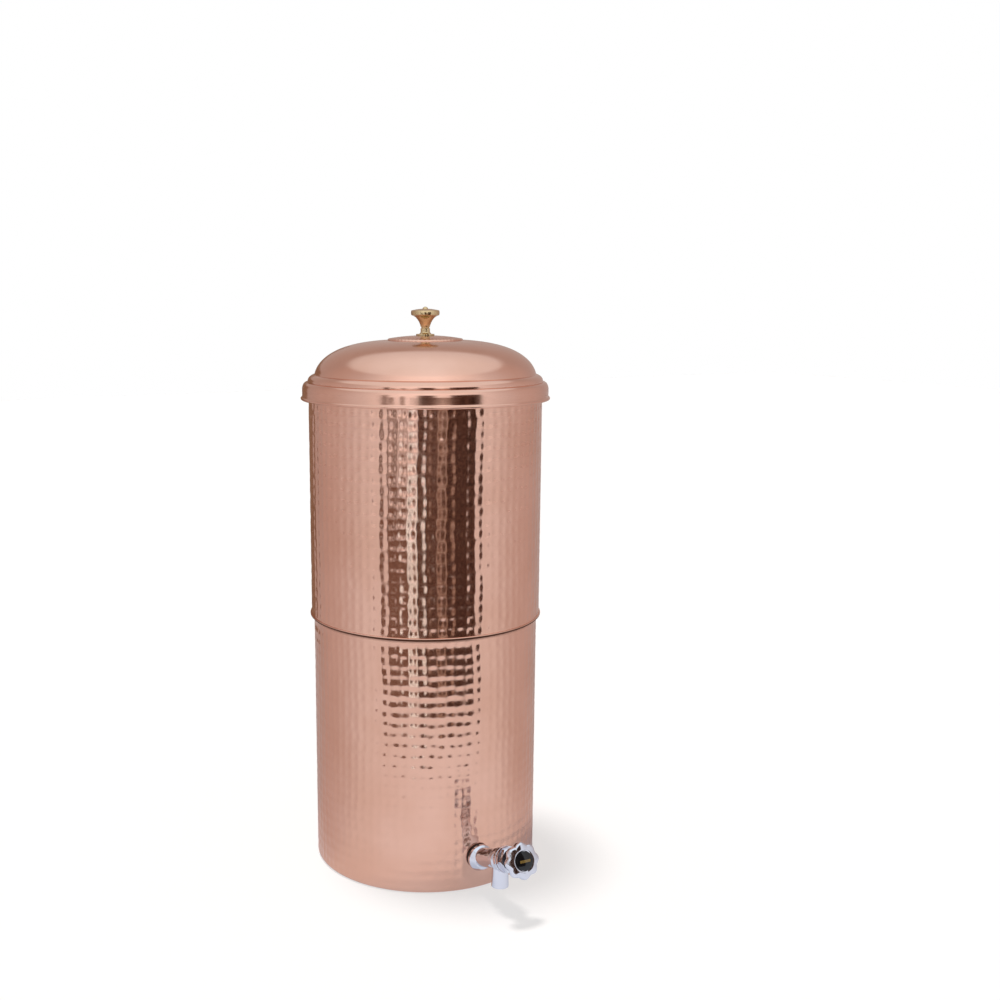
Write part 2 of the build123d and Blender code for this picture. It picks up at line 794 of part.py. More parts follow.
def make_wheel_cap():
    """Dark domed button pressed into the wheel's face, left plain."""
    edge = cap_seat + wheel_cap_edge
    button = turned(
        Line((0, cap_seat), (wheel_cap_radius, cap_seat)),
        Line((wheel_cap_radius, cap_seat), (wheel_cap_radius, edge)),
        dome_arc(wheel_cap_radius, edge, wheel_cap_rise),
        Line((0, edge + wheel_cap_rise), (0, cap_seat)),
    )
    return valve_plane * button


makers = {
    "lower_tank": make_lower_tank,
    "tap_body": make_tap_body,
    "tap_outer_gasket": make_tap_outer_gasket,
    "tap_inner_gasket": make_tap_inner_gasket,
    "tap_backing_washer": make_tap_backing_washer,
    "tap_lock_nut": make_tap_lock_nut,
    "tap_bonnet": make_tap_bonnet,
    "tap_bonnet_washer": make_tap_bonnet_washer,
    "tap_gland": make_tap_gland,
    "valve_washer": make_valve_washer,
    "valve_jumper": make_valve_jumper,
    "valve_nut": make_valve_nut,
    "tap_spindle": make_tap_spindle,
    "spindle_seal": make_spindle_seal,
    "tap_wheel": make_tap_wheel,
    "wheel_screw": make_wheel_screw,
    "wheel_cap": make_wheel_cap,
    "upper_tank": make_upper_tank,
    "upper_floor": make_upper_floor,
    "lid": make_lid,
    "knob_plate": make_knob_plate,
    "knob": make_knob,
    "knob_washer": make_knob_washer,
    "knob_screw": make_knob_screw,
}
candle_makers = {
    "candle_ceramic": make_candle_ceramic,
    "candle_base": make_candle_base,
    "candle_gasket": make_candle_gasket,
    "wing_nut": make_wing_nut,
}

pieces = {name: make() for name, make in makers.items()}
for name, make in candle_makers.items():
    piece = make()
    for number, place in enumerate(candle_places(), start=1):
        pieces[f"{name}_{number}"] = place * piece

os.makedirs("parts", exist_ok=True)
for name, piece in pieces.items():
    export_step(piece, f"parts/{name}.step")
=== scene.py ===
import math
import random

import bmesh
import bpy
from mathutils import Matrix, Vector


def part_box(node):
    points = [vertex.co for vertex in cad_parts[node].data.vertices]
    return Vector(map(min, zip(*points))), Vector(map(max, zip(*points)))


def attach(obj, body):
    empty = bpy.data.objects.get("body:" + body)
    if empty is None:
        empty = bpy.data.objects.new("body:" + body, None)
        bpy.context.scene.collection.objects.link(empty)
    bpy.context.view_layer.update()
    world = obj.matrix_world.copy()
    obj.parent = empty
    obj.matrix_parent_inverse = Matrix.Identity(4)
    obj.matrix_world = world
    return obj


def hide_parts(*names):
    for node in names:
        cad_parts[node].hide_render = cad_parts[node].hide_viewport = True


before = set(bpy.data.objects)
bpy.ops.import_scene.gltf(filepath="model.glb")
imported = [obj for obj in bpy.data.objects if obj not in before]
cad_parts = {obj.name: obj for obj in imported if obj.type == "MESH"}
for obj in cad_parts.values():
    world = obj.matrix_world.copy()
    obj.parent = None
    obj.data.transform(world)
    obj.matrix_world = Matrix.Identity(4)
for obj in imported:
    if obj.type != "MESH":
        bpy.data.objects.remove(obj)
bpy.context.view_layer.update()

lower_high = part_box("lower_tank")[1]
upper_low, upper_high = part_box("upper_tank")
lid_low, lid_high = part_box("lid")
plate_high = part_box("knob_plate")[1]

bl_info = {
    "name": "Copper water filter",
    "version": (1, 0, 0),
    "blender": (4, 5, 0),
    "location": "3D View > Sidebar > Copper filter",
    "description": "Dresses the frame of a gravity water filter in hammered copper, brass and chrome",
    "category": "Add Mesh",
}

MM = 0.001


# Sizes and colours that a user would change


def length(name, description, millimetres):
    """Property for a length, written in millimetres."""
    return bpy.props.FloatProperty(
        name=name, description=description, default=millimetres * MM, unit="LENGTH", precision=5
    )


def share(name, description, default):
    """Property for a plain share or strength."""
    return bpy.props.FloatProperty(name=name, description=description, default=default)


def angle(name, description, degrees):
    """Property for an angle, written in degrees."""
    return bpy.props.FloatProperty(
        name=name, description=description, default=math.radians(degrees), subtype="ANGLE"
    )


def count(name, description, default):
    """Property for a whole number."""
    return bpy.props.IntProperty(name=name, description=description, default=default, min=1)


def colour(name, description, red, green, blue):
    """Property for a linear colour."""
    return bpy.props.FloatVectorProperty(
        name=name, description=description, default=(red, green, blue), subtype="COLOR", size=3
    )


class TankSizes(bpy.types.PropertyGroup):
    """Sheet and edges of the two tanks."""

    sheet: length("Sheet", "Thickness of the copper sheet", 1.2)
    base_corner: length("Base corner", "Round between the lower tank's wall and base", 3.0)
    base_ring: length("Standing ring", "Width of the ring that the lower tank stands on", 12.0)
    recess_depth: length("Recess", "Height of the base's middle over the ring", 3.0)
    recess_run: length("Recess slope", "Width of the slope from the ring to the middle", 4.0)
    hem_width: length("Hem", "How far the mouth's folded hem stands out", 1.0)
    hem_height: length("Hem height", "Height of the mouth's folded hem", 8.0)
    skirt_bead: length("Skirt bead", "Radius of the bead on the upper tank's lower edge", 1.2)
    rim_bead: length("Rim bead", "Radius of the upper tank's rolled rim", 2.6)
    bead_inset: length("Bead inset", "How far a bead sits outside the wall's inner face", 0.2)
    flare: length("Flare", "How far the lower tank's wall swells under the upper tank's skirt", 0.8)
    flare_height: length("Flare height", "Height over which the lower tank's wall swells", 8.0)


class HammerMarks(bpy.types.PropertyGroup):
    """Rows of hammer marks round the tanks and the knob's plate."""

    row_pitch: length("Rows", "Height of a row of marks", 10.4)
    column_pitch: length("Columns", "Width of a mark", 9.0)
    depth: length("Depth", "Depth of a mark", 0.54)
    row_reach: share("Reach upright", "Half of a mark's height, in shares of the pitch", 0.6)
    column_reach: share("Reach level", "Half of a mark's width, in shares of the pitch", 0.6)
    scatter: share("Scatter", "How far marks stray from their places, in shares of the pitch", 0.10)
    unevenness: share("Unevenness", "How far the marks' depths differ", 0.18)
    cells: count("Cells", "Mesh cells across one mark", 6)
    plain_edge: length("Plain edge", "Width of the unmarked band at the wall's ends", 3.0)
    plain_mouth: length("Plain mouth", "Width of the unmarked band under the lower tank's hem", 12.0)
    tap_clearance: length("Plain round", "Radius of the unmarked place round the tap", 15.0)


class TapSizes(bpy.types.PropertyGroup):
    """Place of the tap and section of its hand wheel."""

    height: length("Height", "Height of the tap's shank over the ground", 33.0)
    reach: length("Reach", "Distance of the tap flange's back from the axis", 114.5)
    rise: angle("Rise", "How far the tap's barrel leans up", 20.0)
    hole: length("Hole", "Radius of the tap's hole in the lower tank", 8.2)
    gasket: length("Gasket", "Radius of the gasket behind the tap's flange", 12.5)
    wheel_start: length("Wheel start", "Start of the wheel's hub along the barrel", 74.0)
    wheel_hub: length("Hub", "Radius of the wheel's hub", 8.6)
    wheel_hub_length: length("Hub length", "Length of the wheel's hub", 3.0)
    wheel_thickness: length("Wheel thickness", "Thickness of the wheel's lobes", 9.5)
    wheel_tip: length("Lobe tips", "Radius of the wheel over its lobes", 17.2)
    wheel_notch: length("Lobe notches", "Radius of the wheel between its lobes", 15.2)
    wheel_well: length("Cap well", "Radius of the well for the wheel's cap", 8.9)
    wheel_well_depth: length("Well depth", "Depth of the well for the wheel's cap", 2.0)
    wheel_bore: length("Wheel bore", "Radius of the hole for the spindle and the screw's head", 3.4)
    wheel_lobes: count("Lobes", "Number of lobes round the wheel", 8)
    bar_length: length("Bar length", "Length of the plain bar on the wheel's cap", 11.0)
    bar_width: length("Bar width", "Width of the plain bar on the wheel's cap", 2.4)


class LidSizes(bpy.types.PropertyGroup):
    """Section of the spun lid and of the knob's plate."""

    sheet: length("Sheet", "Thickness of the copper sheet", 1.2)
    bead: length("Bead", "Radius of the bead on the lid's lower edge", 1.3)
    bead_inset: length("Bead inset", "How far the bead sits outside the band's inner face", 0.2)
    bead_hollow: length("Bead hollow", "Radius of the hollow over the bead", 2.0)
    band_depth: length("Band", "Height of the upright band", 17.0)
    corner: length("Corner", "Width of the round between the band and the step", 4.2)
    corner_height: length("Corner height", "Height of the round between the band and the step", 7.0)
    step_width: length("Step", "Width of the step over the rim", 5.5)
    moulding: length("Moulding", "Half width of the round moulding under the dome", 9.0)
    moulding_start: length("Moulding start", "Height of the moulding's widest place over the step", 1.0)
    moulding_height: length("Moulding height", "Half height of the moulding", 6.6)
    moulding_end: angle("Moulding end", "Turn of the moulding at which the dome leaves it", 75.0)
    dome_rise: length("Dome rise", "Height of the dome's whole curve", 38.0)
    dome_drop: length("Dome drop", "How far the dome's curve starts under the moulding's top", 4.6)
    dome_fullness: share("Dome fullness", "Roundness of the dome's shoulder, one for an ellipse", 0.61)
    seat: length("Seat", "Radius of the lowered middle under the knob's plate", 25.0)
    seat_round: length("Seat round", "Radius of the seat's shallow dome", 400.0)
    screw_hole: length("Screw hole", "Radius of the knob screw's hole", 2.8)
    plate: length("Plate", "Radius of the knob's plate", 37.0)
    plate_round: length("Plate round", "Round at the plate's edge", 1.6)
    plate_mark: length("Plate marks", "Width of the marks round the plate's edge", 3.9)
    plate_mark_depth: length("Plate mark depth", "Depth of the marks round the plate's edge", 0.3)
    turning_steps: count("Steps", "Mesh steps round the lid", 288)


class Finishes(bpy.types.PropertyGroup):
    """Colours of the metals and the other materials, in linear light."""

    copper: colour("Copper", "Polished copper", 0.81, 0.475, 0.36)
    copper_deep: colour("Deep copper", "Copper where it has begun to darken", 0.75, 0.42, 0.305)
    # Painted shade: dark brown laid on the lower tank just under the upper tank's skirt, standing in for
    # the skirt's shadow.
    seam_shade: colour("Seam_shadow", "Copper in the crease under the upper tank", 0.11, 0.042, 0.026)
    bar: colour("Bar", "Plain bar on the wheel's cap", 0.30, 0.19, 0.05)
    brass: colour("Brass", "Polished brass of the knob", 0.70, 0.51, 0.28)
    chrome: colour("Chrome", "Bright plating of the tap", 0.70, 0.69, 0.75)
    plain_brass: colour("Plain brass", "Machined brass inside the tap", 0.62, 0.43, 0.17)
    steel: colour("Steel", "Screws and washers", 0.55, 0.55, 0.57)
    rubber: colour("Rubber", "Dark gaskets", 0.030, 0.016, 0.012)
    fibre: colour("Fibre", "Red washer under the bonnet", 0.22, 0.03, 0.015)
    black_plastic: colour("Black plastic", "Gland sleeve and the wheel's cap", 0.008, 0.008, 0.010)
    ceramic: colour("Ceramic", "Filter candles", 0.80, 0.77, 0.69)
    white_plastic: colour("White plastic", "Candle bases and wing nuts", 0.75, 0.75, 0.73)
    silicone: colour("Silicone", "Candle gaskets", 0.60, 0.60, 0.57)


class StageSizes(bpy.types.PropertyGroup):
    """Camera, floor and the surroundings that the copper mirrors."""

    camera_distance: length("Distance", "Camera's distance from the tanks' axis", 1248.0)
    camera_height: length("Height", "Camera's height over the ground", 571.7)
    camera_turn: angle("Turn", "Camera's turn about the axis, from the tap's side", -27.5)
    camera_tilt: angle("Tilt", "How far the camera looks down", 10.574)
    lens: bpy.props.FloatProperty(
        name="Lens", description="Focal length on a 36 mm sensor", default=45.41, unit="CAMERA"
    )
    shift_across: share("Shift across", "Camera shift to the side, in picture widths", 0.0747)
    shift_up: share("Shift up", "Camera shift upwards, in picture widths", 0.0283)
    floor_size: length("Floor", "Width of the pale floor", 12000.0)
    floor_colour: colour("Floor colour", "Pale floor under the filter", 0.455, 0.43, 0.415)
    floor_glow: share("Floor glow", "Brightness that the floor shows the camera without light on it", 0.595)
    card_reach: length("Cards", "Distance of the mirrored cards from the axis", 720.0)
    room_light: share("Room light", "Even light that all sides give what isn't a mirror", 0.36)
    room_turn: angle("Room turn", "Turn of the room's bright side to the camera's right", 5.0)
    overhead: colour("Overhead", "Surroundings that a mirror shows overhead", 1.0, 1.13, 1.22)
    lamp_height: length("Lamp height", "Height of the overhead light over the ground", 2000.0)
    lamp_lean: angle("Lamp lean", "Lean of the overhead light to the camera's left", 6.0)
    lamp_back: angle("Lamp back", "Lean of the overhead light away from the camera", 3.0)
    lamp_spread: angle("Lamp spread", "Width of the overhead light", 10.0)
    lamp_strength: share("Lamp strength", "Strength of the overhead light", 2.0)


def sizes(kind):
    """The scene's values of one kind."""
    return getattr(bpy.context.scene, "copper_" + kind)


# Outlines and turned meshes

EIGHTHS = 8
MERGE_DISTANCE = 0.001 * MM
WALL_TOLERANCE = 0.01 * MM
SMOOTH_ANGLE = math.radians(40)


def in_eights(amount):
    """Whole number near an amount, the same for each eighth of a turn."""
    return EIGHTHS * round(amount / EIGHTHS)


def evenly(start, end, steps):
    """Numbers from start to end in equal steps."""
    return [start + (end - start) * step / steps for step in range(steps + 1)]


def arc(middle, radius, start, end, steps):
    """Points along an arc, with its angles in degrees from the outward level."""
    turns = [math.radians(turn) for turn in evenly(start, end, steps)]
    return [(middle[0] + radius * math.cos(turn), middle[1] + radius * math.sin(turn)) for turn in turns]


def squashed(points, level, amount):
    """Points whose heights over a level are multiplied by an amount."""
    return [(across, level + (up - level) * amount) for across, up in points]


def rounded(corners, steps=4):
    """Points of an outline whose corners are given as radius, height and rounding."""
    points = []
    for place, (across, up, rounding) in enumerate(corners):
        if not rounding:
            points.append((across, up))
            continue
        at = Vector((across, up))
        back = (Vector(corners[place - 1][:2]) - at).normalized()
        onward = (Vector(corners[place + 1][:2]) - at).normalized()
        half = back.angle(onward) / 2
        middle = at + (back + onward).normalized() * rounding / math.sin(half)
        first = at + back * rounding / math.tan(half) - middle
        last = at + onward * rounding / math.tan(half) - middle
        start = math.degrees(math.atan2(first.y, first.x))
        sweep = math.degrees(math.atan2(first.cross(last), first.dot(last)))
        points += arc(middle, rounding, start, start + sweep, steps)
    return points


def spin(shape, parts, turn, steps):
    """Spins vertices and edges about the tanks' axis."""
    bmesh.ops.spin(shape, geom=parts, cent=(0, 0, 0), axis=(0, 0, 1), angle=turn, steps=steps)


def turned(outline, steps, closed=False, wall=None, cuts=0):
    """Mesh of an outline of radius and height points turned about the tanks' axis.

    The outline's stretch with the wall's number is cut first. Then an eighth of a turn is spun, and
    its copies fill the rest.
    """
    shape = bmesh.new()
    verts = [shape.verts.new((across, 0, up)) for across, up in outline]
    edges = [shape.edges.new(pair) for pair in zip(verts, verts[1:])]
    if closed:
        edges.append(shape.edges.new((verts[-1], verts[0])))
    if wall is not None:
        bmesh.ops.subdivide_edges(shape, edges=[edges[wall]], cuts=cuts)
    spin(shape, shape.verts[:] + shape.edges[:], math.tau / EIGHTHS, steps // EIGHTHS)
    for filled in (1, 2, 4):
        copy = bmesh.ops.duplicate(shape, geom=shape.verts[:] + shape.edges[:] + shape.faces[:])
        copied = [part for part in copy["geom"] if isinstance(part, bmesh.types.BMVert)]
        turn = Matrix.Rotation(math.tau * filled / EIGHTHS, 3, "Z")
        bmesh.ops.rotate(shape, verts=copied, cent=(0, 0, 0), matrix=turn)
    bmesh.ops.remove_doubles(shape, verts=shape.verts, dist=MERGE_DISTANCE)
    bmesh.ops.recalc_face_normals(shape, faces=shape.faces)
    return shape


def new_object(name, shape, material):
    """Object at the origin with a mesh of a shape, in one material."""
    mesh = bpy.data.meshes.new(name)
    shape.to_mesh(mesh)
    shape.free()
    mesh.materials.append(material)
    made = bpy.data.objects.new(name, mesh)
    bpy.context.scene.collection.objects.link(made)
    return made


def add_piece(name, shape, material, body, slot, *nodes):
    """Makes a mesh a piece of the filter that rides on a body and stands for frame nodes."""
    for face in shape.faces:
        face.smooth = True
    piece = new_object(name, shape, material)
    piece.data.set_sharp_from_angle(angle=SMOOTH_ANGLE)
    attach(piece, body)
    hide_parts(*nodes)


def finish_nodes(material, *names):
    """Gives frame nodes a finish."""
    for name in names:
        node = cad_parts[name]
        node.data.materials.clear()
        node.data.materials.append(material)


# Shader nodes

WHITE = (1, 1, 1, 1)
NOISE_RANGE = (0.3, 0.7)


def fill(tree, node, inputs):
    """Sets a node's inputs to plain values, or links them to other nodes' outputs."""
    for name, value in inputs.items():
        if isinstance(value, bpy.types.NodeSocket):
            tree.links.new(value, node.inputs[name])
        else:
            node.inputs[name].default_value = value


def add_node(tree, kind, inputs, **settings):
    """Outputs of a new node with its settings and its inputs."""
    node = tree.nodes.new("ShaderNode" + kind)
    for name, setting in settings.items():
        setattr(node, name, setting)
    fill(tree, node, inputs)
    return node.outputs


def number(tree, operation, *values):
    """Number worked out from other numbers."""
    return add_node(tree, "Math", dict(enumerate(values)), operation=operation)["Value"]


def flattened(tree, place):
    """A place or direction without its height."""
    return add_node(tree, "VectorMath", {0: place, 1: (1, 1, 0)}, operation="MULTIPLY")["Vector"]


def coordinates(tree, kind="Object"):
    """A piece's own coordinates, or the directions of the surroundings."""
    return add_node(tree, "TexCoord", {})[kind]


def mapped(tree, value, start, end, low=0.0, high=1.0):
    """Number that runs from low to high as a value runs from start to end."""
    inputs = {"Value": value, "From Min": start, "From Max": end, "To Min": low, "To Max": high}
    return add_node(tree, "MapRange", inputs)["Result"]


def blend(tree, factor, first, second, kind="RGBA"):
    """Mix of two colours, or of two numbers, by a factor."""
    return add_node(tree, "Mix", {"Factor": factor, "A": first, "B": second}, data_type=kind)["Result"]


def ramp_of(tree, factor, *stops):
    """Colours along a factor, each given as its place and its tone."""
    ramp = tree.nodes.new("ShaderNodeValToRGB")
    elements = ramp.color_ramp.elements
    for element, (place, tone) in zip(elements, (stops[0], stops[-1])):
        element.position = place
        element.color = (*tone, 1)
    for place, tone in stops[1:-1]:
        elements.new(place).color = (*tone, 1)
    tree.links.new(factor, ramp.inputs["Fac"])
    return ramp.outputs["Color"]


def blend_colours(tree, factor, first, second, start=0.35, end=0.65):
    """Colour that runs from the first to the second as a noise rises."""
    return ramp_of(tree, factor, (start, first), (end, second))


def noise(tree, scale, detail=2.0, stretch=(1, 1, 1)):
    """Noise over the piece's own coordinates, with its scale per metre."""
    place = add_node(tree, "Mapping", {"Vector": coordinates(tree), "Scale": stretch})["Vector"]
    return add_node(tree, "TexNoise", {"Vector": place, "Scale": scale, "Detail": detail})["Fac"]


# Finishes


def new_material(name):
    """Material for a finish, and its node tree."""
    material = bpy.data.materials.new(name)
    material.use_nodes = True
    return material, material.node_tree


def dress(tree, tone, roughness, relief, depth, metallic=1.0):
    """Feeds a finish its colour, its gloss and its fine relief."""
    bump = add_node(tree, "Bump", {"Strength": 1.0, "Distance": depth, "Height": relief})["Normal"]
    inputs = {"Base Color": tone, "Roughness": roughness, "Metallic": metallic, "Normal": bump}
    fill(tree, tree.nodes["Principled BSDF"], inputs)


def cover(tree, name, factor, value, kind="RGBA"):
    """Blends what feeds one input of a finish with a plain value by a factor."""
    socket = tree.nodes["Principled BSDF"].inputs[name]
    below = socket.links[0].from_socket
    tree.links.new(blend(tree, factor, below, value, kind), socket)


def copper_finish(name, smoothest, dullest, grain, depth, stretch=(1, 1, 1)):
    """Copper that is a little darker and duller in places, with a fine grain."""
    finishes = sizes("finishes")
    material, tree = new_material(name)
    patches = noise(tree, scale=14.0, detail=3.0)
    tone = blend_colours(tree, patches, finishes.copper_deep, finishes.copper)
    gloss = mapped(tree, noise(tree, scale=60.0), *NOISE_RANGE, smoothest, dullest)
    dress(tree, tone, gloss, noise(tree, scale=grain, stretch=stretch), depth)
    return material


def hammered_copper():
    """Polished copper of the hammered tanks, with painted shade outside in the crease under the upper
    tank's skirt.
    """
    tanks = sizes("tanks")
    material = copper_finish(
        "hammered copper", smoothest=0.12, dullest=0.17, grain=900.0, depth=0.004 * MM
    )
    tree = material.node_tree
    place = coordinates(tree)
    seam = upper_low.z
    seam_reach = 10 * MM
    # Painted shade: the outside of the wall is darkened to a dark line at the seam under the upper tank's
    # skirt, fading over a few millimetres below it, standing in for the skirt's shadow.
    height = add_node(tree, "SeparateXYZ", {"Vector": place})["Z"]
    climb = mapped(tree, height, seam - seam_reach, seam + seam_reach)
    unshaded = (0, 0, 0)
    half_shade = (0.45, 0.45, 0.45)
    full_shade = (1, 1, 1)
    crease = ramp_of(tree, climb, (0.34, unshaded), (0.43, half_shade), (0.46, full_shade), (0.56, full_shade), (0.60, unshaded))
    across = add_node(tree, "VectorMath", {0: flattened(tree, place)}, operation="LENGTH")["Value"]
    past_middle = 0.6 * tanks.sheet
    outside = number(tree, "GREATER_THAN", across, lower_high.x - tanks.hem_width - past_middle)
    painted_shade = number(tree, "MULTIPLY", crease, outside)
    dull = 0.7
    # Lays the painted shade's colour over the copper, and a duller gloss there.
    cover(tree, "Base Color", painted_shade, (*sizes("finishes").seam_shade, 1))
    cover(tree, "Roughness", painted_shade, dull, "FLOAT")
    return material


def spun_copper():
    """Polished copper of the spun pieces."""
    return copper_finish(
        "spun copper", smoothest=0.12, dullest=0.19, grain=300.0, depth=0.002 * MM, stretch=(1, 1, 6)
    )


def turned_brass():
    """Polished brass of the knob."""
    material, tree = new_material("turned brass")
    brass = sizes("finishes").brass
    darker = [0.82 * part for part in brass]
    tone = blend_colours(tree, noise(tree, scale=120.0), darker, brass)
    relief = noise(tree, scale=500.0, stretch=(1, 1, 12))
    dress(tree, tone, roughness=0.18, relief=relief, depth=0.003 * MM)
    return material


def plain_metal(name, tone, roughness, grain):
    """Metal of one colour with a fine grain and uneven gloss."""
    material, tree = new_material(name)
    gloss = mapped(tree, noise(tree, scale=150.0), *NOISE_RANGE, 0.8 * roughness, 1.3 * roughness)
    dress(tree, (*tone, 1), gloss, noise(tree, scale=700.0), grain)
    return material


def moulded(name, tone, roughness, grain):
    """Plastic, rubber, fibre or ceramic of one colour with a fine surface."""
    material, tree = new_material(name)
    darker = [0.9 * part for part in tone]
    mottled = blend_colours(tree, noise(tree, scale=80.0), darker, tone)
    dress(tree, mottled, roughness, noise(tree, scale=1200.0), grain, metallic=0.0)
    return material


def barred_cap():
    """Black plastic with one plain bar across the middle of the wheel's cap."""
    tap = sizes("tap")
    finishes = sizes("finishes")
    material = moulded("barred cap", finishes.black_plastic, roughness=0.12, grain=0.002 * MM)
    tree = material.node_tree
    lean = (math.pi / 2 - tap.rise, 0, 0)
    face = {"Vector": coordinates(tree), "Location": (0, -tap.reach, tap.height), "Rotation": lean}
    place = add_node(tree, "Mapping", face, vector_type="TEXTURE")["Vector"]
    parts = add_node(tree, "SeparateXYZ", {"Vector": place})
    along = number(tree, "COMPARE", parts["X"], 0.0, tap.bar_length / 2)
    across = number(tree, "COMPARE", parts["Y"], 0.0, tap.bar_width / 2)
    cover(tree, "Base Color", number(tree, "MULTIPLY", along, across), (*finishes.bar, 1))
    return material


# Hammered tanks

TANK_SEED = 7


class MarkedGrid:
    """Rows of round marks with scattered places and depths."""

    def __init__(self, rows, columns, chance):
        marks = sizes("marks")
        self.rows = rows
        self.columns = columns
        self.row_reach = marks.row_reach
        self.column_reach = marks.column_reach
        self.shifts = []
        self.marks = []
        shift = 0.0

        def stray(amount):
            return chance.uniform(-amount, amount)

        for row in range(rows):
            shift += stray(marks.scatter)
            self.shifts.append(shift)
            self.marks.append(
                [
                    (0.5 + stray(marks.scatter), 0.5 + stray(marks.scatter), 1 + stray(marks.unevenness))
                    for column in range(columns)
                ]
            )

    def depth(self, place, climb):
        """Depth at a place that is a number of rows up, about one in a mark's middle."""
        turn = math.atan2(place.y, place.x) / math.tau % 1.0 * self.columns
        total = 0.0
        for row in range(max(0, int(climb) - 1), min(self.rows, int(climb) + 2)):
            around = turn - self.shifts[row]
            for column in range(math.floor(around) - 1, math.floor(around) + 2):
                aside, above, strength = self.marks[row][column % self.columns]
                level = (around - column - aside) / self.column_reach
                upright = (climb - row - above) / self.row_reach
                if abs(level) < 1 and abs(upright) < 1:
                    total += strength * ((1 - level**2) * (1 - upright**2)) ** 2
        return total


def wall_rows(low, high):
    """Number of rows of marks up a wall."""
    return round((high - low) / sizes("marks").row_pitch)


def wall_columns(radius):
    """Number of marks in a row round a wall."""
    return in_eights(math.tau * radius / sizes("marks").column_pitch)


def hammer(shape, radius, low, high, plain_top, chance):
    """Presses rows of marks into the outside of a tank's wall, fading to its ends and to the tap."""
    marks = sizes("marks")
    tap_middle = Vector((0, -radius, sizes("tap").height))
    grid = MarkedGrid(wall_rows(low, high), wall_columns(radius), chance)
    for vert in shape.verts:
        across = vert.co.xy.length
        if abs(across - radius) > WALL_TOLERANCE or not low < vert.co.z < high:
            continue
        climb = (vert.co.z - low) / (high - low) * grid.rows
        edge = min((vert.co.z - low) / marks.plain_edge, (high - vert.co.z) / plain_top)
        tap_edge = ((vert.co - tap_middle).length - marks.tap_clearance) / marks.plain_edge
        press = marks.depth * grid.depth(vert.co, climb) * max(0.0, min(1.0, edge, tap_edge))
        vert.co.xy *= (across - press) / across


def cut_tap_hole(shape):
    """Opens the tap's hole through the lower tank's wall."""
    tap = sizes("tap")
    inside = []
    for face in shape.faces:
        middle = face.calc_center_median()
        if middle.y < 0 and math.hypot(middle.x, middle.z - tap.height) < tap.hole:
            inside.append(face)
    bmesh.ops.delete(shape, geom=inside, context="FACES")
    rim = [edge for edge in shape.edges if edge.is_boundary]
    for vert in {vert for edge in rim for vert in edge.verts}:
        aside = Vector((vert.co.x, vert.co.z - tap.height))
        aside *= tap.hole / aside.length
        vert.co.y = -math.sqrt(vert.co.xy.length_squared - aside.x**2)
        vert.co.x = aside.x
        vert.co.z = tap.height + aside.y
    bmesh.ops.bridge_loops(shape, edges=rim)
    bmesh.ops.recalc_face_normals(shape, faces=shape.faces)


def flare_mouth(shape, radius, hem_low):
    """Swells the outside of the lower tank's wall a little where it goes into the upper tank."""
    tanks = sizes("tanks")
    seam = upper_low.z
    for vert in shape.verts:
        across = vert.co.xy.length
        if abs(across - radius) > tanks.sheet / 2:
            continue
        below = (vert.co.z - seam + tanks.flare_height) / tanks.flare_height
        above = (hem_low - vert.co.z) / (hem_low - seam)
        swell = max(0.0, min(below, above, 1.0))
        vert.co.xy *= (across + tanks.flare * swell**2) / across


def lower_tank_shape(chance):
    """Hammered lower tank: recessed base, wall and folded hem."""
    tanks = sizes("tanks")
    marks = sizes("marks")
    radius = lower_high.x - tanks.hem_width
    inner = radius - tanks.sheet
    mouth = lower_high.z
    hem_low = mouth - tanks.hem_height
    recess_edge = radius - tanks.base_ring
    recess_flat = recess_edge - tanks.recess_run
    bend = 1.5 * MM
    hem_round = 0.5 * MM
    outside = rounded(
        [
            (0, tanks.recess_depth, 0),
            (recess_flat, tanks.recess_depth, bend),
            (recess_edge, 0, bend),
            (radius, 0, tanks.base_corner),
            (radius, hem_low, 0),
        ]
    )
    hem = rounded(
        [
            (radius + tanks.hem_width, hem_low, 0),
            (radius + tanks.hem_width, mouth, hem_round),
            (inner, mouth, hem_round),
            (inner, tanks.sheet, tanks.base_corner - tanks.sheet),
            (recess_edge + bend / 2, tanks.sheet, 0),
            (recess_flat + bend / 2, tanks.recess_depth + tanks.sheet, 0),
            (0, tanks.recess_depth + tanks.sheet, 0),
        ]
    )
    rows = wall_rows(tanks.base_corner, hem_low)
    steps = wall_columns(radius) * marks.cells
    shape = turned(outside + hem, steps, wall=len(outside) - 2, cuts=rows * marks.cells - 1)
    hammer(shape, radius, tanks.base_corner, hem_low, marks.plain_mouth, chance)
    flare_mouth(shape, radius, hem_low)
    cut_tap_hole(shape)
    return shape


def upper_tank_shape(chance):
    """Hammered upper tank: an open tube with a beaded skirt and a rolled rim."""
    tanks = sizes("tanks")
    marks = sizes("marks")
    inner = upper_high.x - 2 * tanks.rim_bead - tanks.bead_inset
    radius = inner + tanks.sheet
    skirt = (inner + tanks.bead_inset + tanks.skirt_bead, upper_low.z + tanks.skirt_bead)
    rim = (inner + tanks.bead_inset + tanks.rim_bead, upper_high.z - tanks.rim_bead)
    skirt_end = math.degrees(math.acos((radius - skirt[0]) / tanks.skirt_bead))
    rim_start = math.degrees(math.acos((radius - rim[0]) / tanks.rim_bead))
    skirt_points = [(inner, skirt[1])] + arc(skirt, tanks.skirt_bead, 180, 360 + skirt_end, steps=14)
    rim_points = arc(rim, tanks.rim_bead, -rim_start, 180, steps=16) + [(inner, rim[1])]
    low = skirt_points[-1][1]
    high = rim_points[0][1]
    shape = turned(
        skirt_points + rim_points,
        wall_columns(radius) * marks.cells,
        closed=True,
        wall=len(skirt_points) - 1,
        cuts=wall_rows(low, high) * marks.cells - 1,
    )
    hammer(shape, radius, low, high, marks.plain_edge, chance)
    return shape


